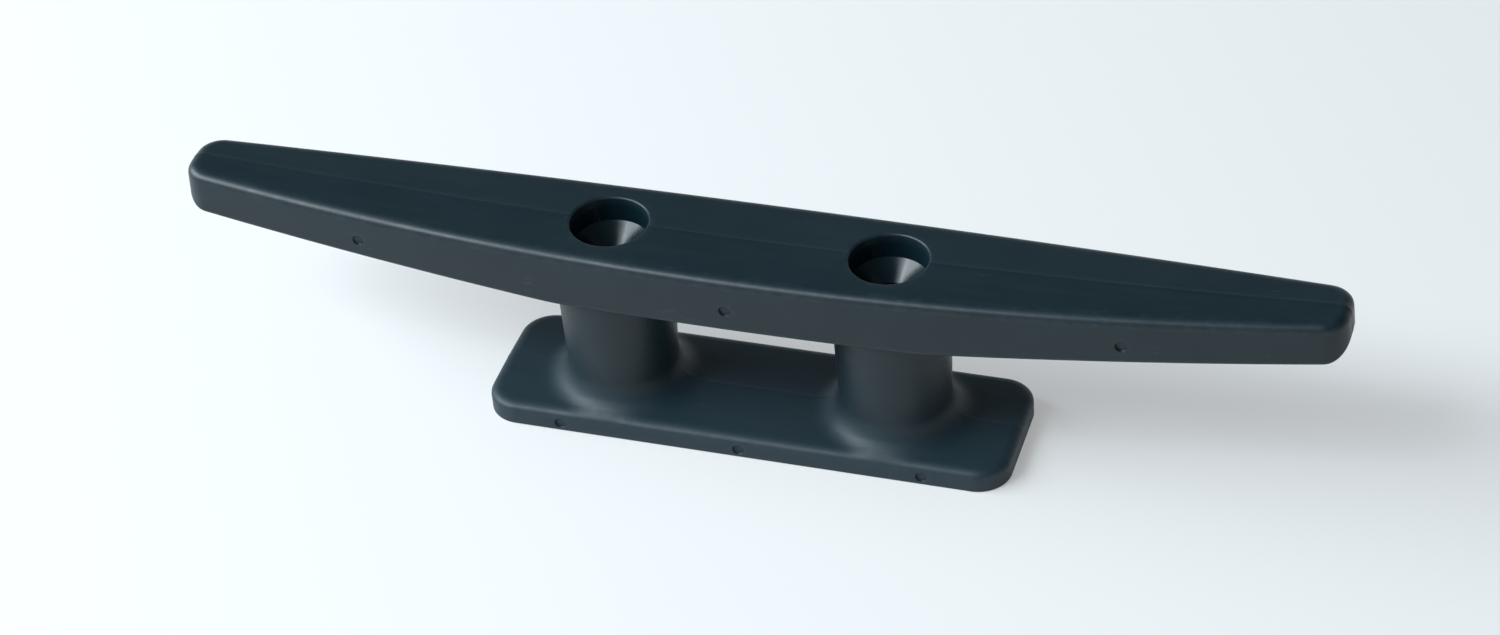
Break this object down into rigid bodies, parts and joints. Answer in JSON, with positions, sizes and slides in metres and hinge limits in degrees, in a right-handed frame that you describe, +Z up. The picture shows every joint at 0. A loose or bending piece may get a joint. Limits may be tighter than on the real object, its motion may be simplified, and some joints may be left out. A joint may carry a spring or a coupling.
{
  "type": "horn cleat",
  "caption": "Low two-ended horn cleat moulded in black nylon on two round posts and a narrow base, with countersunk bolt holes lined by steel sleeves, for making fast a rope.",
  "frame": {"origin": "middle of the base's underside, on the deck, halfway between the bolt holes", "axes": "+X along the horn, +Z up out of the deck and along the bolt holes, +Y across the horn, away from the side with the ejector pin marks"},
  "size_m": [0.1572, 0.0206, 0.0308],
  "materials": {
    "nylon": "satin gloss moulded nylon",
    "sleeve_steel": "turned stainless steel"
  },
  "bodies": {
    "root": {"cleat_body": "nylon", "left_bolt_sleeve": "sleeve_steel", "right_bolt_sleeve": "sleeve_steel"}
  },
  "joints": []
}
